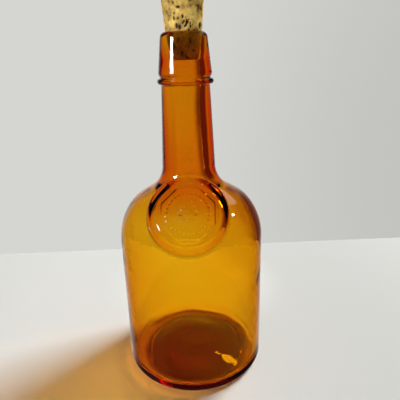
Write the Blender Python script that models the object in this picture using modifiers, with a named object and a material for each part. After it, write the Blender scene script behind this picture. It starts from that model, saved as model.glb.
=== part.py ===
"""A round-shouldered amber glass bottle with an applied lip, a string ring, a shoulder seal and a cork.

Metres, +Z up. The origin is at the centre of the base, on the surface the bottle stands on,
and the seal faces -Y. Every glass piece but the seal is turned about the Z axis.
"""

import bpy
from math import cos, pi, radians, sin
from mathutils import Matrix, Vector

MM = 0.001
GAP = 0.3 * MM          # left between neighbouring pieces
STEPS = 48              # facets around each turned piece
ARC_STEP = radians(11)  # longest turn between two points of an arc

# Body
BODY_RADIUS = 42.5 * MM
HEEL_RADIUS = 4.7 * MM
WALL = 3.2 * MM
SHOULDER_START = 83.5 * MM
SHOULDER_RADIUS, SHOULDER_TURN = 34 * MM, radians(38)
CROWN_RADIUS, CROWN_TURN = 20 * MM, radians(21)

# Base: a flat resting ring round a shallow stepped hollow, under a floor that is thickest in the middle
REST_INNER_RADIUS = 31 * MM
STEP_RADIUS, STEP_HEIGHT = 29.4 * MM, 1.1 * MM
PUNT_RADIUS, PUNT_HEIGHT = 12 * MM, 2.4 * MM
PUNT_STEP = 0.5 * MM
FLOOR_THICKNESS, FLOOR_EDGE_THICKNESS = 6.4 * MM, 3.4 * MM
FLOOR_CORNER_RADIUS = 4.5 * MM

# Neck: the tube leans in as it rises, and its top is drawn in to hold the collar
NECK_SEAM = 126.5 * MM
NECK_FILLET = 15.6 * MM
NECK_FOOT_RADIUS = 15.2 * MM
NECK_LEAN = radians(2.5)
COLLAR_SEAT = 174 * MM
SPIGOT_RADIUS, SPIGOT_TOP = 11.4 * MM, 190.5 * MM
BORE_FILLET = 14 * MM
BORE_FOOT_RADIUS, BORE_TOP_RADIUS = 9.4 * MM, 8.8 * MM
BORE_TOP = 176 * MM

# Collar round the mouth
COLLAR_FOOT_RADIUS = 13.1 * MM
COLLAR_FOOT_ROUND = 1.5 * MM
COLLAR_LEAN = radians(6.3)
COLLAR_TAPER_TOP = 194.4 * MM
LIP_ROUND, LIP_TURN = 3 * MM, radians(62)
MOUTH_ROUND = 0.55 * MM

# String ring just under the collar
RING_BOTTOM = 170.6 * MM
RING_INNER_RADIUS = 13.5 * MM
RING_BAND = 0.25 * MM
RING_ROUND = 1.65 * MM

# Cork: squeezed to a steeper taper in the mouth than above it
CORK_BOTTOM, CORK_LIP, CORK_TOP = 182.7 * MM, 196.9 * MM, 218 * MM
CORK_BOTTOM_RADIUS, CORK_LIP_RADIUS, CORK_TOP_RADIUS = 7.45 * MM, 9.68 * MM, 11.4 * MM
CORK_EDGE = 0.6 * MM
CORK_TAPER = (CORK_LIP_RADIUS - CORK_BOTTOM_RADIUS) / (CORK_LIP - CORK_BOTTOM)

# Seal: a shallow dome with a rim bead, on an axis that rises forward from the shoulder
SEAL_CENTRE = Vector((0, -28.9, 105.7)) * MM
SEAL_RISE = radians(37.8)
SEAL_RADIUS = 21.5 * MM
SEAL_RIM_HEIGHT, SEAL_FACE_HEIGHT = 3.0 * MM, 6.0 * MM
SEAL_BEAD_INNER, SEAL_BEAD = 17.6 * MM, 0.7 * MM
SEAL_ROOT = -9 * MM

AMBER = (0.62, 0.20, 0.012, 1)
CORK_BROWN = (0.42, 0.27, 0.12, 1)


class Pen:
    """Draws a profile in the XZ plane: each run starts where the last one ended, heading its way."""

    def __init__(self, x, z, heading=0.0):
        self.x, self.z, self.heading = x, z, heading
        self.points = [(x, z)]

    def to(self, x, z):
        self.x, self.z = x, z
        self.points.append((x, z))

    def line(self, length):
        self.to(self.x + length * cos(self.heading), self.z + length * sin(self.heading))

    def up_to(self, z):
        self.line((z - self.z) / sin(self.heading))

    def arc(self, radius, turn):
        """A turn to the left, or to the right where turn is negative."""
        side = 1 if turn > 0 else -1
        start, x, z = self.heading, self.x, self.z
        count = max(2, round(abs(turn) / ARC_STEP))
        for i in range(1, count + 1):
            now = start + turn * i / count
            self.to(x + side * radius * (sin(now) - sin(start)), z + side * radius * (cos(start) - cos(now)))
        self.heading = start + turn


def bore_radius(z):
    """The mouth's radius at a height that the cork fills."""
    return CORK_LIP_RADIUS + GAP - (CORK_LIP - z) * CORK_TAPER


def draw_shoulder(pen, inset, fillet, neck_radius, lean):
    """From the top of the body's straight side to the foot of the neck."""
    pen.arc(SHOULDER_RADIUS - inset, SHOULDER_TURN)
    pen.arc(CROWN_RADIUS - inset, CROWN_TURN)
    slope = SHOULDER_TURN + CROWN_TURN
    fillet_width = fillet * (cos(lean) - cos(slope))
    pen.line((pen.x - neck_radius - fillet_width) / sin(slope))
    pen.arc(fillet, lean - slope)


def outer_wall(clear=0.0):
    """The body's outside from the centre of the base to the foot of the neck, moved outward by clear."""
    pen = Pen(0, PUNT_HEIGHT - clear)
    pen.to(PUNT_RADIUS, PUNT_HEIGHT - clear)
    pen.to(PUNT_RADIUS + PUNT_STEP, PUNT_HEIGHT - PUNT_STEP - clear)
    pen.to(STEP_RADIUS, STEP_HEIGHT - clear)
    pen.to(REST_INNER_RADIUS, -clear)
    pen.to(BODY_RADIUS - HEEL_RADIUS, -clear)
    pen.arc(HEEL_RADIUS + clear, pi / 2)
    pen.up_to(SHOULDER_START)
    draw_shoulder(pen, -clear, NECK_FILLET - clear, NECK_FOOT_RADIUS + clear, NECK_LEAN)
    pen.up_to(NECK_SEAM)
    return pen


def inner_wall():
    """The hollow from the centre of the floor to the foot of the neck."""
    pen = Pen(0, PUNT_HEIGHT + FLOOR_THICKNESS)
    pen.to(PUNT_RADIUS, PUNT_HEIGHT + FLOOR_THICKNESS - PUNT_STEP)
    pen.to(BODY_RADIUS - WALL - FLOOR_CORNER_RADIUS, FLOOR_EDGE_THICKNESS)
    pen.arc(FLOOR_CORNER_RADIUS, pi / 2)
    pen.up_to(SHOULDER_START)
    draw_shoulder(pen, WALL, BORE_FILLET, BORE_FOOT_RADIUS, 0)
    pen.to(BORE_FOOT_RADIUS, NECK_SEAM)
    return pen


def surface(name, colour, roughness, transmission=0.0):
    material = bpy.data.materials.new(name)
    material.use_nodes = True
    shader = material.node_tree.nodes["Principled BSDF"]
    shader.inputs["Base Color"].default_value = colour
    shader.inputs["Metallic"].default_value = 0.0
    shader.inputs["Roughness"].default_value = roughness
    shader.inputs["Transmission Weight"].default_value = transmission
    return material


def amber_glass(name):
    return surface(name, AMBER, 0.05, transmission=1.0)


def turned(name, points, collection, material=None, loop=False):
    """A profile turned about Z. It runs down its outer side; a loop closes on itself, else it ends on the axis."""
    mesh = bpy.data.meshes.new(name)
    count = len(points)
    edges = [(i, (i + 1) % count) for i in range(count if loop else count - 1)]
    mesh.from_pydata([(x, 0, z) for x, z in points], edges, [])
    piece = bpy.data.objects.new(name, mesh)
    collection.objects.link(piece)
    screw = piece.modifiers.new("Turn", "SCREW")
    screw.steps = screw.render_steps = STEPS
    screw.use_merge_vertices = True
    screw.merge_threshold = 0.00001
    screw.use_smooth_shade = True
    if material:
        mesh.materials.append(material)
    return piece


def make_glass_body(collection, material):
    """The blown vessel's base, body and shoulder, open at the top."""
    points = [*inner_wall().points, *reversed(outer_wall().points)]
    return turned("glass_body", points, collection, material)


def make_neck_tube(collection, material):
    """The vessel's neck, with a narrower spigot at its top inside the collar."""
    pen = Pen(BORE_FOOT_RADIUS, NECK_SEAM + GAP)
    pen.to(BORE_TOP_RADIUS, BORE_TOP)
    pen.to(bore_radius(CORK_BOTTOM - GAP), CORK_BOTTOM - GAP)
    pen.to(bore_radius(SPIGOT_TOP), SPIGOT_TOP)
    pen.to(SPIGOT_RADIUS, SPIGOT_TOP)
    pen.to(SPIGOT_RADIUS, COLLAR_SEAT)
    outside = Pen(outer_wall().x, NECK_SEAM + GAP, pi / 2 + NECK_LEAN)
    outside.up_to(COLLAR_SEAT)
    points = [*pen.points, *reversed(outside.points)]
    return turned("neck_tube", points, collection, material, loop=True)


def make_string_ring(collection, material):
    """The trail of glass wound once round the neck."""
    pen = Pen(RING_INNER_RADIUS, RING_BOTTOM)
    pen.line(RING_BAND)
    pen.arc(RING_ROUND, pi)
    pen.line(RING_BAND)
    return turned("string_ring", list(reversed(pen.points)), collection, material, loop=True)


def make_lip_collar(collection, material):
    """The tapered collar tooled round the mouth, over the neck's spigot."""
    socket = SPIGOT_RADIUS + GAP
    pen = Pen(socket, COLLAR_SEAT + GAP)
    pen.to(COLLAR_FOOT_RADIUS, COLLAR_SEAT + GAP)
    pen.arc(COLLAR_FOOT_ROUND, pi / 2 + COLLAR_LEAN)
    pen.up_to(COLLAR_TAPER_TOP)
    pen.arc(LIP_ROUND, LIP_TURN)
    pen.arc(MOUTH_ROUND, 3 * pi / 2 - CORK_TAPER - pen.heading)
    pen.to(bore_radius(SPIGOT_TOP + GAP), SPIGOT_TOP + GAP)
    pen.to(socket, SPIGOT_TOP + GAP)
    return turned("lip_collar", list(reversed(pen.points)), collection, material, loop=True)


def make_cork_stopper(collection, material):
    """The tapered cork, pushed into the mouth."""
    pen = Pen(0, CORK_BOTTOM)
    pen.to(CORK_BOTTOM_RADIUS - CORK_EDGE, CORK_BOTTOM)
    pen.arc(CORK_EDGE, pi / 2)
    pen.to(CORK_LIP_RADIUS, CORK_LIP)
    pen.to(CORK_TOP_RADIUS, CORK_TOP - CORK_EDGE)
    pen.heading = pi / 2
    pen.arc(CORK_EDGE, pi / 2)
    pen.to(0, CORK_TOP)
    return turned("cork_stopper", list(reversed(pen.points)), collection, material)


def seal_face(radius):
    """The dome's height over the seal's plane, at a distance from its axis."""
    return SEAL_FACE_HEIGHT - (SEAL_FACE_HEIGHT - SEAL_RIM_HEIGHT) * (radius / SEAL_RADIUS) ** 2


def make_shoulder_seal(collection, cutters, material):
    """The medallion pressed on the shoulder: a dome with a rim bead, hollowed underneath to fit the shoulder."""
    pen = Pen(0, seal_face(0))
    for i in range(1, 5):
        radius = SEAL_BEAD_INNER * i / 4
        pen.to(radius, seal_face(radius))
    bead_width = SEAL_RADIUS - SEAL_BEAD_INNER
    for i in range(1, 6):
        radius = SEAL_BEAD_INNER + bead_width * i / 6
        pen.to(radius, seal_face(radius) + SEAL_BEAD * sin(pi * i / 6))
    pen.to(SEAL_RADIUS, seal_face(SEAL_RADIUS) - SEAL_BEAD)
    pen.to(SEAL_RADIUS, SEAL_ROOT)
    pen.to(0, SEAL_ROOT)
    seal = turned("shoulder_seal", pen.points, collection, material)
    seal.matrix_world = Matrix.Translation(SEAL_CENTRE) @ Matrix.Rotation(pi / 2 - SEAL_RISE, 4, "X")
    shoulder = outer_wall(GAP)
    seat = turned("seal_seat", [(0, shoulder.z), *reversed(shoulder.points)], cutters)
    seat.hide_render = True
    seat.display_type = "WIRE"
    cut = seal.modifiers.new("Seat", "BOOLEAN")
    cut.operation = "DIFFERENCE"
    cut.solver = "EXACT"
    cut.object = seat
    return seal


def main():
    for old in list(bpy.data.objects):
        bpy.data.objects.remove(old)
    parts = bpy.data.collections.new("antique_bottle")
    cutters = bpy.data.collections.new("cutters")
    for collection in (parts, cutters):
        bpy.context.scene.collection.children.link(collection)
    make_glass_body(parts, amber_glass("body_glass"))
    make_neck_tube(parts, amber_glass("neck_glass"))
    make_string_ring(parts, amber_glass("ring_glass"))
    make_lip_collar(parts, amber_glass("collar_glass"))
    make_shoulder_seal(parts, cutters, amber_glass("seal_glass"))
    make_cork_stopper(parts, surface("natural_cork", CORK_BROWN, 0.85))


main()
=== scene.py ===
"""An antique amber glass bottle with a shoulder seal and a cork, on a pale table.

The glass is one closed skin, because the collar, the string ring and the seal are fused to the bottle:
it stands for all five glass nodes of the CAD. The cork is a piece of its own and rides on the cork's body.
Lengths in the tables below are millimetres; scene units are metres.
"""

from math import cos, hypot, pi, radians, sin, tau

import bpy
import numpy as np
from mathutils import Matrix, Vector, noise


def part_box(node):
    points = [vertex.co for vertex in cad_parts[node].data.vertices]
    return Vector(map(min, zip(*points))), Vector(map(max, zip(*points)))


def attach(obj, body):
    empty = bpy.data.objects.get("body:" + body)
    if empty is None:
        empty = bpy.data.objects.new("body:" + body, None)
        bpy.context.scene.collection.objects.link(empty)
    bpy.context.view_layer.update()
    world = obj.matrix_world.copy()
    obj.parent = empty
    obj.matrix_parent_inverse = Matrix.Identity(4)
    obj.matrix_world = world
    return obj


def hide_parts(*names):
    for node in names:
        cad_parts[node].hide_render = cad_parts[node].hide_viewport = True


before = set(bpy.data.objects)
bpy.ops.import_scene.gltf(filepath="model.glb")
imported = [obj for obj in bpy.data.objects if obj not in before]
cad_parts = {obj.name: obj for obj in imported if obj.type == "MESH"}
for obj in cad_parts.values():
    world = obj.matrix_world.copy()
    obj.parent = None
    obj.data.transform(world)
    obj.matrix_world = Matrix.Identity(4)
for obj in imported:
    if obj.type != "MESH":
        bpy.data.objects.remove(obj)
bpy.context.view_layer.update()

NOISE_SEED = 3                 # without one, noise_vector starts somewhere else each run
noise.seed_set(NOISE_SEED)

MM = 0.001
GLASS_NODES = ("glass_body", "neck_tube", "lip_collar", "string_ring", "shoulder_seal")
_, body_high = (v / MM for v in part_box("glass_body"))
cork_low, cork_high = (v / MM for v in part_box("cork_stopper"))

# Outline of the glass
BODY_RADIUS = body_high.x
HEEL_RADIUS = 4.7
WALL = 3.2
SHOULDER_START = 83.5
SHOULDER_RADIUS, SHOULDER_TURN = 34, radians(38)
CROWN_RADIUS, CROWN_TURN = 20, radians(21)
REST_INNER_RADIUS = 31
STEP_RADIUS, STEP_HEIGHT = 29.4, 1.1
PUNT_RADIUS, PUNT_HEIGHT = 12, 2.4
FLOOR_THICKNESS, FLOOR_EDGE_THICKNESS, FLOOR_CORNER_RADIUS = 6.4, 3.4, 4.5
FLOOR_DOME = 0.2, 1.0          # the shares of the floor's radius between which it thins
NECK_FILLET, NECK_FOOT_RADIUS, NECK_LEAN = 15.6, 15.2, radians(2.5)
BORE_FILLET, BORE_FOOT_RADIUS, BORE_TOP_RADIUS, BORE_TOP = 14, 9.1, 8.6, 176
BORE_END = 195.6               # where the inside meets the round of the mouth
RING_FOOT, RING_ROUND = 170.3, 1.6
COLLAR_LEAN, COLLAR_TAPER_TOP = radians(6.3), 194.4
LIP_ROUND, LIP_TURN, MOUTH_ROUND = 3, radians(62), 0.55

# What the hand-blown glass adds to its outline
INNER_DRIFT, SHOULDER_DRIFT, INNER_RIPPLE = 0.22, 0.45, 0.12   # how far the inside wanders
OUTER_DRIFT, OUTER_RIPPLE = 0.22, 0.025
OUTER_INSET = 0.0034           # the share that the outside is let in, to stay inside the CAD's box
SHOULDER_GATHER = 0.2          # how much thicker the glass is at the two sides of the shoulder
BORE_OFFSET, HOLLOW_OFFSET = 0.5, 0.6   # how far the inside lies to the left, in the neck and in the shoulder
FLOOR_SWELL, FLOOR_RIPPLE = 1.5, 0.15
GLINT_PLACE, GLINT_SLOPE = (20.5, -19.5, 5.1), (-0.158, 0.148)   # a flat on the floor that mirrors a lamp
GLINT_REACH = 3.4, 5.0         # where the flat ends, and where the floor is its own again

# Cork
CORK_BOTTOM, CORK_LIP, CORK_TOP = cork_low.z, 196.9, cork_high.z
CORK_BOTTOM_RADIUS, CORK_LIP_RADIUS, CORK_TOP_RADIUS = 7.45, 9.68, cork_high.x
CORK_TAPER = (CORK_LIP_RADIUS - CORK_BOTTOM_RADIUS) / (CORK_LIP - CORK_BOTTOM)
CORK_ROOM = 0.3                # between the cork and the glass
CORK_EDGE = 0.6

# Seal: its plane's centre, and the rise of its axis above level
SEAL_CENTRE = np.array((0, -28.9, 105.7))
SEAL_RISE = radians(37.8)
SEAL_CREST, SEAL_RADIUS, SEAL_FOOT_RADIUS = 21.0, 21.9, 23.0
SEAL_RIM_HEIGHT, SEAL_FACE_HEIGHT = 2.0, 5.2
BEAD_LOW, BEAD_RISE, BEAD_WIDTH = 0.45, 0.85, 1.6   # the rim bead is low at the top and bottom, high at the sides
OCTAGON_REACH, OCTAGON_STEP, OCTAGON_RIDGE, OCTAGON_SOFTNESS = 14.2, 0.2, 0.1, 0.35
PELLETS, PELLET_RING, PELLET_HEIGHT, PELLET_SIZE = 30, 11.4, 0.34, 0.62
ROSETTE_REACH, ROSETTE_HEIGHT = 5.2, 0.32
NAVEL_RADIUS, NAVEL_DEPTH, NAVEL_WIDTH = 1.3, 0.22, 0.45        # the groove round the rosette's middle
SEAL_SHELF = 1.5               # how far the bead's outside falls before the side starts
SEAL_LEAN = 0.2                # how much wider the side is at its foot
SEAL_FILLET = 1.6

SEGMENTS = 192                 # around the bottle
SEAL_COLUMNS = 36              # either side of the front, the block of the skin that holds the seal
SEAL_ROWS = (81.5, 133.0)      # heights that the block starts and ends near
FACE_RINGS, CREST_RINGS, SIDE_RINGS, FILLET_RINGS, GROUND_RINGS = 84, 12, 7, 8, 10


# ---------------------------------------------------------------- outlines

class Pen:
    """Draws an outline in the half plane: each run starts where the last one ended, heading its way."""

    def __init__(self, r, z, heading=0.0, step=1.0, turn=radians(6)):
        self.r, self.z, self.heading, self.step, self.most_turn = r, z, heading, step, turn
        self.points = [(r, z)]

    def to(self, r, z):
        count = max(1, round(hypot(r - self.r, z - self.z) / self.step))
        start = self.points[-1]
        for i in range(1, count + 1):
            share = i / count
            self.points.append((start[0] + (r - start[0]) * share, start[1] + (z - start[1]) * share))
        self.r, self.z = r, z

    def line(self, length):
        self.to(self.r + length * cos(self.heading), self.z + length * sin(self.heading))

    def up_to(self, z):
        self.line((z - self.z) / sin(self.heading))

    def arc(self, radius, turn):
        """A turn to the left, or to the right where turn is negative."""
        side = 1 if turn > 0 else -1
        start, r, z = self.heading, self.r, self.z
        count = max(3, round(abs(turn) / self.most_turn), round(abs(turn) * radius / self.step))
        for i in range(1, count + 1):
            now = start + turn * i / count
            self.r = r + side * radius * (sin(now) - sin(start))
            self.z = z + side * radius * (cos(start) - cos(now))
            self.points.append((self.r, self.z))
        self.heading = start + turn


def bore_radius(z):
    return CORK_LIP_RADIUS + CORK_ROOM - (CORK_LIP - z) * CORK_TAPER


def draw_shoulder(pen, inset, fillet, neck_radius, lean):
    pen.arc(SHOULDER_RADIUS - inset, SHOULDER_TURN)
    pen.arc(CROWN_RADIUS - inset, CROWN_TURN)
    slope = SHOULDER_TURN + CROWN_TURN
    pen.line((pen.r - neck_radius - fillet * (cos(lean) - cos(slope))) / sin(slope))
    pen.arc(fillet, lean - slope)


def outer_outline():
    """From the centre of the base, up the outside and over the lip."""
    pen = Pen(0, PUNT_HEIGHT)
    pen.to(PUNT_RADIUS - 0.4, PUNT_HEIGHT)
    pen.heading = 0
    pen.arc(0.6, -radians(50))
    pen.arc(0.6, radians(46))
    pen.to(STEP_RADIUS - 0.6, STEP_HEIGHT)
    pen.heading = -radians(3)
    pen.arc(0.8, -radians(38))
    pen.to(REST_INNER_RADIUS - 0.5, 0.12)
    pen.to(REST_INNER_RADIUS, 0)
    pen.to(BODY_RADIUS - HEEL_RADIUS, 0)
    pen.heading = 0
    pen.arc(HEEL_RADIUS, pi / 2)
    pen.up_to(SHOULDER_START)
    draw_shoulder(pen, 0, NECK_FILLET, NECK_FOOT_RADIUS, NECK_LEAN)
    pen.up_to(RING_FOOT)
    pen.step = 0.4
    pen.arc(0.55, -radians(88))
    pen.line(0.12)
    pen.arc(RING_ROUND, radians(165))
    pen.arc(0.5, -radians(115))
    pen.line(0.5)
    pen.arc(2.6, pi / 2 + COLLAR_LEAN - pen.heading)
    pen.step = 0.8
    pen.up_to(COLLAR_TAPER_TOP)
    pen.step = 0.4
    pen.arc(LIP_ROUND, LIP_TURN)
    pen.arc(MOUTH_ROUND, 3 * pi / 2 - CORK_TAPER - pen.heading)
    return pen.points


def inner_outline():
    """From the centre of the floor, up the inside to just under the mouth."""
    pen = Pen(0, PUNT_HEIGHT + FLOOR_THICKNESS)
    edge = BODY_RADIUS - WALL - FLOOR_CORNER_RADIUS
    dome = pen.z - FLOOR_EDGE_THICKNESS
    rings = 32
    for i in range(1, rings + 1):
        share = i / rings
        pen.to(edge * share, FLOOR_EDGE_THICKNESS + dome * (1 - smooth_steps(*FLOOR_DOME, share)))
    pen.arc(FLOOR_CORNER_RADIUS, pi / 2)
    pen.step = 2
    pen.up_to(SHOULDER_START)
    pen.step = 1.2
    draw_shoulder(pen, WALL, BORE_FILLET, BORE_FOOT_RADIUS, 0)
    pen.to(BORE_TOP_RADIUS, BORE_TOP)
    pen.to(bore_radius(CORK_BOTTOM - CORK_ROOM), CORK_BOTTOM - CORK_ROOM)
    pen.to(bore_radius(BORE_END), BORE_END)
    return pen.points


# ---------------------------------------------------------------- the glass skin

def smooth_steps(low, high, x):
    t = np.clip((x - low) / (high - low), 0, 1)
    return t * t * (3 - 2 * t)


class Skin:
    """Vertices and faces, gathered grid by grid."""

    def __init__(self):
        self.points, self.faces = [], []

    def add(self, points):
        """Rows of points, as an array of their indices."""
        points = np.asarray(points, float)
        first = len(self.points)
        self.points.extend(points.reshape(-1, 3))
        return first + np.arange(points.size // 3).reshape(points.shape[:-1])

    def band(self, below, above, skip=()):
        """Faces between two closed rows, seen with the first row under the second from outside."""
        count = len(below)
        for j in range(count):
            if j not in skip:
                k = (j + 1) % count
                self.faces.append((below[j], below[k], above[k], above[j]))

    def fan(self, centre, row, inward=False):
        count = len(row)
        for j in range(count):
            pair = (row[j], row[(j + 1) % count])
            self.faces.append((centre, *(reversed(pair) if inward else pair)))


def around(radius, z, angles):
    """Points at angles from the front, anticlockwise from above."""
    return np.stack([radius * np.sin(angles), -radius * np.cos(angles), np.broadcast_to(z, angles.shape)], -1)


ANGLES = tau * np.arange(SEGMENTS) / SEGMENTS - pi
SEAL_RIGHT = np.array((1.0, 0, 0))
SEAL_UP = np.array((0, sin(SEAL_RISE), cos(SEAL_RISE)))
SEAL_OUT = np.array((0, -cos(SEAL_RISE), sin(SEAL_RISE)))


def seal_point(radius, turn, height):
    """A point in the seal's own round coordinates."""
    radius, turn, height = np.broadcast_arrays(radius, turn, height)
    flat = radius * np.cos(turn), radius * np.sin(turn), height
    axes = SEAL_RIGHT, SEAL_UP, SEAL_OUT
    return SEAL_CENTRE + sum(part[..., None] * axis for part, axis in zip(flat, axes))


class Shoulder:
    """The outside of the bottle as a surface that can be asked for a point."""

    def __init__(self, outline):
        self.r, self.z = np.array(outline).T
        self.run = np.concatenate([[0], np.cumsum(np.hypot(np.diff(self.r), np.diff(self.z)))])
        self.climb = (self.z > 20) & (self.z < 165)    # the part that only goes up

    def point(self, angle, run):
        return around(np.interp(run, self.run, self.r), np.interp(run, self.run, self.z), angle)

    def inside(self, points):
        reach = np.interp(points[..., 2], self.z[self.climb], self.r[self.climb])
        return np.hypot(points[..., 0], points[..., 1]) < reach

    def height_under(self, radius, turn):
        """The height, in the seal's coordinates, at which a line along its axis meets the shoulder."""
        radius, turn = np.broadcast_arrays(radius, turn)
        start, step, steps, halvings = 12.0, 0.25, 160, 24
        high = np.full(radius.shape, start)
        for _ in range(steps):
            free = ~self.inside(seal_point(radius, turn, high - step))
            if not free.any():
                break
            high = np.where(free, high - step, high)
        low = high - step
        for _ in range(halvings):
            middle = (low + high) / 2
            within = self.inside(seal_point(radius, turn, middle))
            low, high = np.where(within, middle, low), np.where(within, high, middle)
        return high

    def where(self, points):
        """(angle, run) of points that lie on the surface."""
        run = np.interp(points[..., 2], self.z[self.climb], self.run[self.climb])
        return np.arctan2(points[..., 0], -points[..., 1]), run


def ridge(distance, width):
    return np.exp(-(distance / width) ** 2)


def seal_relief(radius, turn):
    """The pressed pattern, in millimetres over the dome: a rim bead, an octagon, pellets and a rosette."""
    x, y = radius * np.cos(turn), radius * np.sin(turn)
    bead = (BEAD_LOW + BEAD_RISE * (1 - np.sin(turn) ** 4)) * ridge(radius - SEAL_CREST, BEAD_WIDTH)
    sides = tau * np.arange(8) / 8
    past_side = np.max([x * np.cos(c) + y * np.sin(c) for c in sides], axis=0) - OCTAGON_REACH
    step = smooth_steps(-OCTAGON_SOFTNESS, OCTAGON_SOFTNESS, past_side)
    octagon = OCTAGON_STEP * step * (1 - smooth_steps(16.4, 17.4, radius))
    octagon = octagon + OCTAGON_RIDGE * ridge(past_side, OCTAGON_SOFTNESS)
    relief = bead + octagon
    for i in range(PELLETS):
        spot = tau * (i + 0.5) / PELLETS
        away = np.hypot(x - PELLET_RING * cos(spot), y - PELLET_RING * sin(spot))
        relief = relief + PELLET_HEIGHT * ridge(away, PELLET_SIZE)
    petals = ROSETTE_REACH * (0.62 + 0.38 * np.abs(np.cos(4 * turn)))
    relief = relief + ROSETTE_HEIGHT * (1 - smooth_steps(-0.35, 0.35, radius - petals))
    return relief - NAVEL_DEPTH * ridge(radius - NAVEL_RADIUS, NAVEL_WIDTH)


def seal_face(radius, turn):
    dome = SEAL_FACE_HEIGHT - (SEAL_FACE_HEIGHT - SEAL_RIM_HEIGHT) * (radius / SEAL_RADIUS) ** 2
    return dome + seal_relief(radius, turn)


def curve_rows(start, start_way, end, end_way, count):
    """Points along a cubic from start to end, leaving and arriving along the two ways."""
    rows = []
    for i in range(1, count + 1):
        t = i / count
        a, b = (1 - t) ** 2 * (1 + 2 * t), t * (1 - t) ** 2
        c, d = t * t * (3 - 2 * t), -t * t * (1 - t)
        rows.append([a * p + b * u + c * q + d * v for p, u, q, v in zip(start, start_way, end, end_way)])
    return rows


def seal_rows(shoulder, turns):
    """Rings of the seal from its centre out to its foot on the shoulder, as (radius, height) rows."""
    rows = []
    for radius in np.linspace(0, SEAL_CREST, FACE_RINGS)[1:]:
        rows.append((np.full_like(turns, radius), seal_face(radius, turns)))
    foot = shoulder.height_under(SEAL_FOOT_RADIUS, turns)
    further = 0.4
    foot_slope = (shoulder.height_under(SEAL_FOOT_RADIUS + further, turns) - foot) / further
    one = np.ones_like(turns)
    edge = seal_face(SEAL_CREST, turns)
    shelf = edge - SEAL_SHELF
    low = np.minimum(foot + SEAL_FILLET, shelf - 0.2)
    rows += curve_rows(
        (SEAL_CREST * one, edge), (1.3 * one, 0 * one),
        (SEAL_RADIUS * one, shelf), (0.1 * one, -2.2 * one), CREST_RINGS)
    for share in np.linspace(0, 1, SIDE_RINGS)[1:]:
        rows.append((SEAL_RADIUS + SEAL_LEAN * share * one, shelf + (low - shelf) * share))
    span = SEAL_FOOT_RADIUS - SEAL_RADIUS - SEAL_LEAN
    rows += curve_rows(
        ((SEAL_RADIUS + SEAL_LEAN) * one, low), (0.1 * one, -1.8 * one),
        (SEAL_FOOT_RADIUS * one, foot), (span * one, span * foot_slope), FILLET_RINGS)
    return rows


def spokes_for(shoulder, block_angles, block_runs):
    """For each point on the block's edge, the turn round the seal whose foot lies in the same direction."""
    reach = 30.0
    turns = np.linspace(0, tau, 2000, endpoint=False)
    centre_height = shoulder.height_under(np.zeros(1), np.zeros(1))
    _, centre_run = shoulder.where(seal_point(np.zeros(1), np.zeros(1), centre_height))
    foot = seal_point(SEAL_FOOT_RADIUS, turns, shoulder.height_under(SEAL_FOOT_RADIUS, turns))
    angle, run = shoulder.where(foot)
    ways = np.unwrap(np.arctan2(run - centre_run, angle * reach))
    wanted = np.arctan2(block_runs - centre_run, block_angles * reach)
    wanted = (wanted - ways[0]) % tau + ways[0]
    return np.interp(wanted, np.append(ways, ways[0] + tau), np.append(turns, tau))


def add_seal(skin, shoulder, rows, first_row, last_row, outline_runs):
    """Fills the block that is left open in the outer skin with the seal and the ground round it."""
    left, right = SEGMENTS // 2 - SEAL_COLUMNS, SEGMENTS // 2 + SEAL_COLUMNS
    edge = [(first_row, j) for j in range(left, right)]
    edge += [(i, right) for i in range(first_row, last_row)]
    edge += [(last_row, j) for j in range(right, left, -1)]
    edge += [(i, left) for i in range(last_row, first_row, -1)]
    block = np.array([rows[i][j] for i, j in edge])
    block_angles = np.array([ANGLES[j] for _, j in edge])
    block_runs = np.array([outline_runs[i] for i, _ in edge])
    turns = spokes_for(shoulder, block_angles, block_runs)
    rings = seal_rows(shoulder, turns)
    centre = skin.add(seal_point(0.0, 0.0, seal_face(np.zeros(1), np.zeros(1)))).ravel()[0]
    grid = [skin.add(seal_point(radius, turns, height)) for radius, height in rings]
    skin.fan(centre, grid[0])
    angle, run = shoulder.where(seal_point(rings[-1][0], turns, rings[-1][1]))
    for i in range(1, GROUND_RINGS):
        share = (i / GROUND_RINGS) ** 1.25
        ring = shoulder.point(angle + (block_angles - angle) * share, run + (block_runs - run) * share)
        grid.append(skin.add(ring))
    grid.append(block)
    for inner, outer in zip(grid, grid[1:]):
        skin.band(outer, inner)


def glass_skin():
    """The whole glass: outside from the base up, over the lip, and down the inside to the floor."""
    skin = Skin()
    outline = outer_outline()
    inside = list(reversed(inner_outline()))
    shoulder = Shoulder(outline)
    z = np.array([p[1] for p in outline])
    first_row = int(np.argmax(z > SEAL_ROWS[0]))
    last_row = int(np.argmax(z > SEAL_ROWS[1]))
    base_centre = skin.add([[0, 0, outline[0][1]]])[0]
    floor_centre = skin.add([[0, 0, inside[-1][1]]])[0]
    rows = [None] + [skin.add(around(r, height, ANGLES)) for r, height in outline[1:]]
    block = set(range(SEGMENTS // 2 - SEAL_COLUMNS, SEGMENTS // 2 + SEAL_COLUMNS))
    skin.fan(base_centre, rows[1], inward=True)
    for i in range(1, len(rows) - 1):
        skin.band(rows[i], rows[i + 1], block if first_row <= i < last_row else ())
    add_seal(skin, shoulder, rows, first_row, last_row, shoulder.run)
    outer_count = len(skin.points)
    inner_rows = [skin.add(around(r, height, ANGLES)) for r, height in inside[:-1]]
    chain = [rows[-1], *inner_rows]
    for a, b in zip(chain, chain[1:]):
        skin.band(a, b)
    skin.fan(floor_centre, inner_rows[-1])
    points = np.array(skin.points)
    inner = np.arange(len(points)) >= outer_count
    inner[floor_centre] = True
    used = np.unique(np.concatenate(skin.faces))
    place = np.full(len(points), -1)
    place[used] = np.arange(len(used))
    return points[used], [tuple(place[list(face)]) for face in skin.faces], inner[used]


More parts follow.
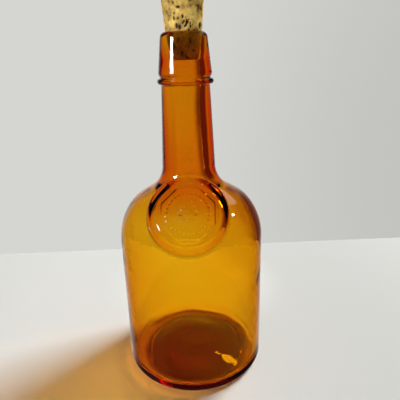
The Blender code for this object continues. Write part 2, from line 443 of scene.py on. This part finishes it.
def drift(point, size, seed):
    """A smooth vector that wanders over a length of size."""
    return noise.noise_vector(Vector(point) / size + Vector((seed, seed * 1.7, seed * 0.3)))


def between(start, full, full_end, end, z):
    """1 from full to full_end, fading to 0 at start and at end."""
    return float(smooth_steps(start, full, z) * smooth_steps(end, full_end, z))


def floor_unevenness(x, y):
    swell = noise.noise(Vector((x, y, 0)) / 21 + Vector((5.2, 1.4, 0)))
    ripple = noise.noise(Vector((x, y, 9)) / 8)
    return FLOOR_SWELL * swell + FLOOR_RIPPLE * ripple


def move_floor(point, x, y, z):
    """Makes the floor uneven, with one flat on it."""
    low = 1 - float(smooth_steps(12, 24, z))
    point[2] += low * floor_unevenness(x, y)
    east, north = x - GLINT_PLACE[0], y - GLINT_PLACE[1]
    flat = GLINT_PLACE[2] + GLINT_SLOPE[0] * east + GLINT_SLOPE[1] * north
    point[2] += (flat - point[2]) * float(smooth_steps(GLINT_REACH[1], GLINT_REACH[0], hypot(east, north)))


def move_inside(point, x, y, z):
    """Lets the inside wander, thickens the shoulder's sides and shifts the hollow to the left."""
    hold = float(smooth_steps(181, 160, z))
    wander = INNER_DRIFT + SHOULDER_DRIFT * float(smooth_steps(70, 100, z))
    point += drift((x, y, z), 38, 3.1) * wander * hold + drift((x, y, z), 13, 7.7) * INNER_RIPPLE * hold
    point[0] -= BORE_OFFSET * between(100, 130, 170, 184, z)
    point[0] -= HOLLOW_OFFSET * between(66, 92, 98, 118, z)
    gather = SHOULDER_GATHER * between(74, 92, 102, 114, z)
    if gather:
        across = x / hypot(x, y)
        point -= gather * across ** 2 * np.array((0.75 * across, 0, 0.65))
    if z < 24:
        move_floor(point, x, y, z)


def move_outside(point, x, y, z):
    """Lets the outside wander a little, less towards the table."""
    grip = float(smooth_steps(0.5, 8, z))
    point += (drift((x, y, z), 45, 11.3) * OUTER_DRIFT + drift((x, y, z), 9, 2.9) * OUTER_RIPPLE) * grip
    point[:2] *= 1 - OUTER_INSET * grip


def hand_made(points, inner):
    """Moves the skin a little, as hand-blown glass is: more on the inside and most on the floor."""
    moved = points.copy()
    for i, (x, y, z) in enumerate(points):
        (move_inside if inner[i] else move_outside)(moved[i], x, y, z)
    return moved


def mesh_piece(name, points, faces, material):
    mesh = bpy.data.meshes.new(name)
    mesh.from_pydata((np.asarray(points) * MM).tolist(), [], [tuple(int(i) for i in f) for f in faces])
    mesh.shade_smooth()
    mesh.materials.append(material)
    mesh.update()
    piece = bpy.data.objects.new(name, mesh)
    bpy.context.scene.collection.objects.link(piece)
    return piece


# ---------------------------------------------------------------- materials

AMBER, AMBER_DEPTH = (0.983, 0.85, 0.0, 1), 900.0     # what thin glass lets through, and how soon it colours
CORK_DARK, CORK_PALE = (0.22, 0.11, 0.014, 1), (0.90, 0.62, 0.15, 1)
# the last colour is for the pits, and for the painted shade where the cork sits in the neck
CORK_GRAIN, CORK_PIT_AND_SHADE = (0.45, 0.38, 0.28, 1), (0.035, 0.008, 0.003, 1)


def new_material(name):
    material = bpy.data.materials.new(name)
    material.use_nodes = True
    return material, material.node_tree, material.node_tree.nodes["Principled BSDF"]


def add_node(tree, kind, **settings):
    """A new node; a setting that names an input socket sets that socket."""
    node = tree.nodes.new(kind)
    for name, value in settings.items():
        if name in node.inputs:
            node.inputs[name].default_value = value
        else:
            setattr(node, name, value)
    return node


def amber_glass():
    """Clear glass that takes its colour from its thickness, with a faint unevenness on its skin."""
    material, tree, shader = new_material("amber_glass")
    shader.inputs["Base Color"].default_value = (1, 1, 1, 1)
    shader.inputs["Roughness"].default_value = 0.0
    shader.inputs["IOR"].default_value = 1.5
    shader.inputs["Transmission Weight"].default_value = 1.0
    depth = add_node(tree, "ShaderNodeVolumeAbsorption", Color=AMBER, Density=AMBER_DEPTH)
    output = tree.nodes["Material Output"]
    tree.links.new(depth.outputs["Volume"], output.inputs["Volume"])
    place = add_node(tree, "ShaderNodeTexCoord")
    waves = add_node(tree, "ShaderNodeTexNoise", Scale=140.0, Detail=1.5, Roughness=0.5)
    bump = add_node(tree, "ShaderNodeBump", Strength=0.05, Distance=0.001)
    tree.links.new(place.outputs["Object"], waves.inputs["Vector"])
    tree.links.new(waves.outputs["Fac"], bump.inputs["Height"])
    tree.links.new(bump.outputs["Normal"], shader.inputs["Normal"])
    return material


def set_ramp(ramp, *stops):
    for element, (position, colour) in zip(ramp.color_ramp.elements, stops):
        element.position, element.color = position, colour


def cork_material():
    """Tan cork: clouded colour, fine dark grains, dark pits where the mesh is pitted, and painted shade where it
    sits in the neck.
    """
    material, tree, shader = new_material("natural_cork")
    place = add_node(tree, "ShaderNodeTexCoord")
    clouds = add_node(tree, "ShaderNodeTexNoise", Scale=170.0, Detail=5.0, Roughness=0.62)
    tan = add_node(tree, "ShaderNodeValToRGB")
    set_ramp(tan, (0.36, CORK_DARK), (0.64, CORK_PALE))
    grains = add_node(tree, "ShaderNodeTexVoronoi", Scale=900.0)
    grain_ramp = add_node(tree, "ShaderNodeValToRGB")
    set_ramp(grain_ramp, (0.05, CORK_GRAIN), (0.22, (1, 1, 1, 1)))
    grained = add_node(tree, "ShaderNodeMix", data_type="RGBA", blend_type="MULTIPLY")
    grained.inputs["Factor"].default_value = 0.55
    # the pit attribute holds the pits and the painted shade where the cork sits in the neck
    pit = add_node(tree, "ShaderNodeAttribute", attribute_name="pit")
    pitted_and_shaded = add_node(tree, "ShaderNodeMix", data_type="RGBA")
    pitted_and_shaded.inputs["B"].default_value = CORK_PIT_AND_SHADE
    for node in (clouds, grains):
        tree.links.new(place.outputs["Object"], node.inputs["Vector"])
    tree.links.new(clouds.outputs["Fac"], tan.inputs["Fac"])
    tree.links.new(grains.outputs["Distance"], grain_ramp.inputs["Fac"])
    tree.links.new(tan.outputs["Color"], grained.inputs["A"])
    tree.links.new(grain_ramp.outputs["Color"], grained.inputs["B"])
    tree.links.new(pit.outputs["Fac"], pitted_and_shaded.inputs["Factor"])
    tree.links.new(grained.outputs["Result"], pitted_and_shaded.inputs["A"])
    tree.links.new(pitted_and_shaded.outputs["Result"], shader.inputs["Base Color"])
    shader.inputs["Roughness"].default_value = 0.8
    bump = add_node(tree, "ShaderNodeBump", Strength=0.5, Distance=0.0004)
    tree.links.new(clouds.outputs["Fac"], bump.inputs["Height"])
    tree.links.new(bump.outputs["Normal"], shader.inputs["Normal"])
    return material


# The table's colours, with places and reaches in metres: a pale table with painted light and painted shade on it
TABLE_LEFT_PAINTED_LIGHT, TABLE_RIGHT_PAINTED_SHADE = (0.90, 0.903, 0.865, 1), (0.66, 0.663, 0.634, 1)
PAINTED_LIGHT_SPAN = -0.16, 0.16
PAINTED_GLOW, PAINTED_GLOW_PLACE, PAINTED_GLOW_REACH = (0.92, 0.92, 0.88, 1), (-0.004, 0.085, 0.0), (0.035, 0.088)   # a painted pool of light on the table, behind the bottle
CONTACT_SHADE = (0.19, 0.005, 0.002, 1)   # the table where the bottle stands on it, which little light reaches
CONTACT_REACH = 0.031, 0.0375


def table_material():
    """A pale table with painted light and shade: brighter on the left and behind the bottle, and dark where the
    bottle stands, which little light reaches.
    """
    material, tree, shader = new_material("pale_table")
    shader.inputs["Roughness"].default_value = 0.6
    place = add_node(tree, "ShaderNodeTexCoord")
    flat = add_node(tree, "ShaderNodeVectorMath", operation="MULTIPLY")
    flat.inputs[1].default_value = (1, 1, 0)
    tree.links.new(place.outputs["Object"], flat.inputs[0])

    def share(value, low, high):
        span = add_node(tree, "ShaderNodeMapRange", interpolation_type="SMOOTHSTEP")
        span.inputs["From Min"].default_value, span.inputs["From Max"].default_value = low, high
        tree.links.new(value, span.inputs["Value"])
        return span.outputs["Result"]

    def away(centre):
        distance = add_node(tree, "ShaderNodeVectorMath", operation="DISTANCE")
        distance.inputs[1].default_value = centre
        tree.links.new(flat.outputs["Vector"], distance.inputs[0])
        return distance.outputs["Value"]

    def blend(amount, first, second):
        mix = add_node(tree, "ShaderNodeMix", data_type="RGBA")
        tree.links.new(amount, mix.inputs["Factor"])
        for socket, colour in ((mix.inputs["A"], first), (mix.inputs["B"], second)):
            if isinstance(colour, tuple):
                socket.default_value = colour
            else:
                tree.links.new(colour, socket)
        return mix.outputs["Result"]

    across = add_node(tree, "ShaderNodeSeparateXYZ")
    tree.links.new(flat.outputs["Vector"], across.inputs["Vector"])
    # painted light and shade: the table is painted lighter on the left and darker on the right
    colour = blend(share(across.outputs["X"], *PAINTED_LIGHT_SPAN), TABLE_LEFT_PAINTED_LIGHT, TABLE_RIGHT_PAINTED_SHADE)
    # a painted pool of light on the table behind the bottle
    colour = blend(share(away(PAINTED_GLOW_PLACE), *PAINTED_GLOW_REACH), PAINTED_GLOW, colour)
    colour = blend(share(away((0, 0, 0)), *CONTACT_REACH), CONTACT_SHADE, colour)
    tree.links.new(colour, shader.inputs["Base Color"])
    return material


# ---------------------------------------------------------------- the cork

CORK_COLUMNS = 176
CORK_PITS, BIG_PITS, BIG_PIT = 300, 0.25, 2.5          # on the side; the share of big ones, and how much bigger
TOP_PITS = 46
# the second number is how dark the painted shade makes the cork where it sits in the neck
PIT_DEPTH, NECK_SHADE_AMOUNT = 0.55, 0.5


def cork_outline():
    """From the centre of the cork's foot, up its side to the centre of its top."""
    pen = Pen(0, CORK_BOTTOM, step=0.45)
    pen.to(CORK_BOTTOM_RADIUS - CORK_EDGE, CORK_BOTTOM)
    pen.arc(CORK_EDGE, pi / 2)
    pen.to(CORK_LIP_RADIUS, CORK_LIP)
    pen.to(CORK_TOP_RADIUS, CORK_TOP - CORK_EDGE)
    pen.heading = pi / 2
    pen.arc(CORK_EDGE, pi / 2)
    pen.to(0, CORK_TOP)
    return pen.points


def cork_pits(random):
    """(centre, half width along the rim, half height) of the pits on the side and the top."""
    heights = CORK_BOTTOM, CORK_LIP, CORK_TOP
    radii = CORK_BOTTOM_RADIUS, CORK_LIP_RADIUS, CORK_TOP_RADIUS
    pits = []

    def add(angle, radius, z, size, widths, tallnesses):
        centre = np.array((radius * sin(angle), -radius * cos(angle), z))
        pits.append((centre, size * random.uniform(*widths), size * random.uniform(*tallnesses)))

    for _ in range(CORK_PITS):
        angle, z = random.uniform(0, tau), random.uniform(CORK_BOTTOM, CORK_TOP)
        size = random.uniform(0.3, 0.7) * (BIG_PIT if random.random() < BIG_PITS else 1)
        add(angle, np.interp(z, heights, radii), z, size, (0.5, 1.3), (0.7, 1.7))
    for _ in range(TOP_PITS):
        angle, radius = random.uniform(0, tau), CORK_TOP_RADIUS * random.random() ** 0.5
        add(angle, radius, CORK_TOP, random.uniform(0.25, 0.7), (1, 2.2), (0.5, 1))
    return pits


def make_cork(material):
    random = np.random.default_rng(8)
    angles = tau * np.arange(CORK_COLUMNS) / CORK_COLUMNS
    outline = cork_outline()
    skin = Skin()
    foot = skin.add([[0, 0, outline[0][1]]])[0]
    rows = [skin.add(around(r, z, angles)) for r, z in outline[1:-1]]
    top = skin.add([[0, 0, outline[-1][1]]])[0]
    skin.fan(foot, rows[0], inward=True)
    for a, b in zip(rows, rows[1:]):
        skin.band(a, b)
    skin.fan(top, rows[-1])
    points = np.array(skin.points)
    way_out = points.copy()
    way_out[:, 2] -= np.clip(points[:, 2], CORK_BOTTOM + 7, CORK_TOP - 9)
    way_out /= np.linalg.norm(way_out, axis=1)[:, None]
    pit = np.zeros(len(points))
    for centre, wide, high in cork_pits(random):
        along = np.array((centre[1], -centre[0], 0)) / max(hypot(centre[0], centre[1]), 1e-6)
        away = points - centre
        sideways = away @ along
        rest = (np.einsum("ij,ij->i", away, away) - sideways ** 2).clip(0)
        share = np.sqrt((sideways / wide) ** 2 + rest / high ** 2)
        pit = np.maximum(pit, 1 - smooth_steps(0.55, 1.0, share))
    rough = np.array([noise.fractal(Vector(p) / 1.3, 1.0, 2.1, 4) for p in points])
    bumpy = np.minimum(0.13 * rough - 0.10, 0)
    points = points + way_out * (bumpy - PIT_DEPTH * pit)[:, None]
    piece = mesh_piece("tapered_cork", points, skin.faces, material)
    mark = piece.data.attributes.new("pit", "FLOAT", "POINT")
    neck_shade = NECK_SHADE_AMOUNT * smooth_steps(CORK_LIP + 0.6, CORK_LIP - 1.2, points[:, 2])   # painted shade: darker where it sits in the neck, which little light reaches
    mark.data.foreach_set("value", np.maximum(pit, neck_shade).astype(np.float32))
    return piece


# ---------------------------------------------------------------- the stage

SEAL_TURN = radians(2.3)      # the camera stands this far round from the front of the seal
CAMERA_AWAY, CAMERA_UP = 0.2245, 0.183
CAMERA_YAW, CAMERA_DIP, CAMERA_ROLL = radians(1.49), radians(19.3), radians(1.75)
CAMERA_LENS = 36               # millimetres, on a sensor as wide
TABLE_BACK = 0.155            # from the bottle's axis to the table's back edge
TABLE_REACH = 1.2
TABLE_THICKNESS = 0.018
TABLE_TOP = -0.00005           # just under the bottle, so that the two faces don't coincide


def make_table(material):
    """A pale table whose back edge runs just behind the bottle."""
    front, back = -TABLE_REACH, TABLE_BACK
    corners = [(-TABLE_REACH, front), (TABLE_REACH, front), (TABLE_REACH, back), (-TABLE_REACH, back)]
    points = [(x, y, z) for z in (TABLE_TOP - TABLE_THICKNESS, TABLE_TOP) for x, y in corners]
    faces = [(3, 2, 1, 0), (4, 5, 6, 7)] + [(i, (i + 1) % 4, (i + 1) % 4 + 4, i + 4) for i in range(4)]
    mesh = bpy.data.meshes.new("table")
    mesh.from_pydata(points, [], faces)
    mesh.materials.append(material)
    table = bpy.data.objects.new("table", mesh)
    bpy.context.scene.collection.objects.link(table)
    table.rotation_euler.z = SEAL_TURN
    edge = table.modifiers.new("Edge", "BEVEL")
    edge.width, edge.segments = 0.002, 3
    table.visible_glossy = False


def make_camera():
    turn = Matrix.Rotation(SEAL_TURN, 3, "Z")
    level_away = cos(CAMERA_DIP)
    ahead = turn @ Vector((sin(CAMERA_YAW) * level_away, cos(CAMERA_YAW) * level_away, -sin(CAMERA_DIP)))
    level = turn @ Vector((cos(CAMERA_YAW), -sin(CAMERA_YAW), 0))
    upright = level.cross(ahead)
    right = level * cos(CAMERA_ROLL) - upright * sin(CAMERA_ROLL)
    up = level * sin(CAMERA_ROLL) + upright * cos(CAMERA_ROLL)
    data = bpy.data.cameras.new("camera")
    data.lens, data.sensor_width = CAMERA_LENS, CAMERA_LENS
    data.clip_start = 0.01
    camera = bpy.data.objects.new("camera", data)
    place = Matrix.Translation(turn @ Vector((0, -CAMERA_AWAY, CAMERA_UP)))
    camera.matrix_world = place @ Matrix((right, up, -ahead)).transposed().to_4x4()
    bpy.context.scene.collection.objects.link(camera)
    bpy.context.scene.camera = camera


LIGHT_AIM = Vector((0, 0, 0.1))        # the middle of the bottle
# name: (azimuth and elevation in degrees, distance, width and height in metres, watts, what it does)
LIGHTS = {
    "key": (36, 36, 2.0, 0.85, 0.85, 60, "lights"),
    "window": (213, 14, 0.9, 0.24, 0.24, 6, "shines"),
    "side_lamp": (5, 32, 0.9, 0.075, 0.075, 0.6, "shines"),
    "soft_shine": (46, 40, 0.9, 0.24, 0.24, 0.25, "shines"),
    "cork_light": (232, 38, 0.9, 0.4, 0.4, 8, "lights"),
}


def make_light(name, azimuth, elevation, distance, width, height, power, does):
    """A soft box that faces the bottle, and either lights things or only shines in the glass.

    Azimuth runs anticlockwise from +X. None is seen through the glass.
    """
    data = bpy.data.lights.new(name, "AREA")
    data.shape, data.size, data.size_y, data.energy = "RECTANGLE", width, height, power
    light = bpy.data.objects.new(name, data)
    way = Vector(direction(radians(azimuth), radians(elevation)))
    light.location = way * distance + LIGHT_AIM
    light.rotation_euler = way.to_track_quat("Z", "Y").to_euler()
    light.visible_camera = False
    light.visible_glossy, light.visible_diffuse = does == "shines", does == "lights"
    light.visible_transmission = False
    bpy.context.scene.collection.objects.link(light)
    return light


def direction(azimuth, elevation):
    return cos(elevation) * cos(azimuth), cos(elevation) * sin(azimuth), sin(elevation)


def light_only(light, piece):
    """Keeps a lamp's light on one piece."""
    receivers = bpy.data.collections.new("lit_by_" + light.name)
    receivers.objects.link(piece)
    light.light_linking.receiver_collection = receivers


WALL_COLOUR = (0.665, 0.67, 0.635, 1)
ROOM_GLOSS = 0.05             # how bright the near side of the room is in the glass, against the wall
ROOM_FILL = 0.15              # and how much of the room lights the table

# Round patches of the room, in degrees: azimuth, elevation, the reach of the patch itself and where it has faded out
DOOR = 38, -4, 22, 44         # brown when seen through the glass
GLOSS_SIDE = 90, -15, 15, 58  # the far side, as bright in reflections as it looks
SEEN_SIDE = 102, 0, 84, 112   # the side that is bright when seen through the glass
WALL_SHADE = 35, -10, 15, 60  # where the wall behind the bottle is darker
CEILING = 0, 90, 46, 74       # dim when seen through the glass
LAMP_SEEN = 58.5, 52, 3.4, 4.6        # the lamp that the flat on the bottle's floor mirrors
SUN = 35, 36, 13, 22          # what shines through the glass on to the table
DOOR_COLOUR = (0.13, 0.04, 0.02, 1)
DOOR_DARKENS = 0.7            # how much of the reflections the door takes away
WALL_SHADE_LEVEL, CEILING_LEVEL, LAMP_LEVEL, SUN_LEVEL = 0.8, 0.25, 62.0, 22.0


def make_world():
    """A pale room for what is seen and what is lit, and a dim one for what the glass mirrors."""
    world = bpy.data.worlds.new("pale_room")
    world.use_nodes = True
    tree = world.node_tree
    background = tree.nodes["Background"]
    way = add_node(tree, "ShaderNodeTexCoord")
    path = add_node(tree, "ShaderNodeLightPath")

    def math(operation, a, b):
        node = add_node(tree, "ShaderNodeMath", operation=operation)
        for socket, value in zip(node.inputs, (a, b)):
            if isinstance(value, (int, float)):
                socket.default_value = value
            else:
                tree.links.new(value, socket)
        return node.outputs["Value"]

    def patch(azimuth, elevation, near, far, outside, inside):
        """One level inside a round patch of the sky and another outside it."""
        towards = add_node(tree, "ShaderNodeVectorMath", operation="DOT_PRODUCT")
        towards.inputs[1].default_value = direction(radians(azimuth), radians(elevation))
        tree.links.new(way.outputs["Generated"], towards.inputs[0])
        reach = add_node(tree, "ShaderNodeMapRange", interpolation_type="SMOOTHSTEP")
        reach.inputs["From Min"].default_value = cos(radians(far))
        reach.inputs["From Max"].default_value = cos(radians(near))
        reach.inputs["To Min"].default_value, reach.inputs["To Max"].default_value = outside, inside
        tree.links.new(towards.outputs["Value"], reach.inputs["Value"])
        return reach.outputs["Result"]

    door = patch(*DOOR, 0.0, 1.0)
    beside_door = math("SUBTRACT", 1.0, math("MULTIPLY", door, DOOR_DARKENS))
    gloss = math("MULTIPLY", beside_door, patch(*GLOSS_SIDE, ROOM_GLOSS, 1.0))
    seen = math("MULTIPLY", patch(*SEEN_SIDE, ROOM_GLOSS, 1.0), patch(*CEILING, 1.0, CEILING_LEVEL))
    seen = math("ADD", seen, patch(*LAMP_SEEN, 0.0, LAMP_LEVEL))
    through = patch(*SUN, ROOM_FILL, SUN_LEVEL)
    wall = patch(*WALL_SHADE, 1.0, WALL_SHADE_LEVEL)
    # A ray that passed through the glass came from the camera; one that shone through it came from what it lights.
    direct = math("LESS_THAN", path.outputs["Diffuse Depth"], 0.5)
    passed = math("MULTIPLY", path.outputs["Is Transmission Ray"], direct)
    shone = math("SUBTRACT", path.outputs["Is Transmission Ray"], passed)
    mirrored = math("SUBTRACT", path.outputs["Is Glossy Ray"], path.outputs["Is Transmission Ray"])
    looked = path.outputs["Is Camera Ray"]
    lit = ROOM_FILL
    for kind, level in ((mirrored, gloss), (looked, wall), (passed, seen), (shone, through)):
        lit = math("ADD", lit, math("MULTIPLY", kind, math("SUBTRACT", level, ROOM_FILL)))
    tree.links.new(lit, background.inputs["Strength"])
    colour = add_node(tree, "ShaderNodeMix", data_type="RGBA")
    colour.inputs["A"].default_value, colour.inputs["B"].default_value = WALL_COLOUR, DOOR_COLOUR
    tree.links.new(math("MULTIPLY", passed, door), colour.inputs["Factor"])
    tree.links.new(colour.outputs["Result"], background.inputs["Color"])
    bpy.context.scene.world = world


# ---------------------------------------------------------------- assembly

points, faces, inner = glass_skin()
bottle = mesh_piece("bottle_glass", hand_made(points, inner), faces, amber_glass())
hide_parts(*GLASS_NODES)
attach(bottle, "bottle")

stopper = make_cork(cork_material())
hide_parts("cork_stopper")
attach(stopper, "cork")

make_table(table_material())
make_camera()
make_world()
lights = {name: make_light(name, *settings) for name, settings in LIGHTS.items()}
light_only(lights["cork_light"], stopper)
bpy.context.scene.cycles.blur_glossy = 0.0      # else the light that shines through the glass is lost
bpy.context.scene.view_settings.view_transform = "Standard"
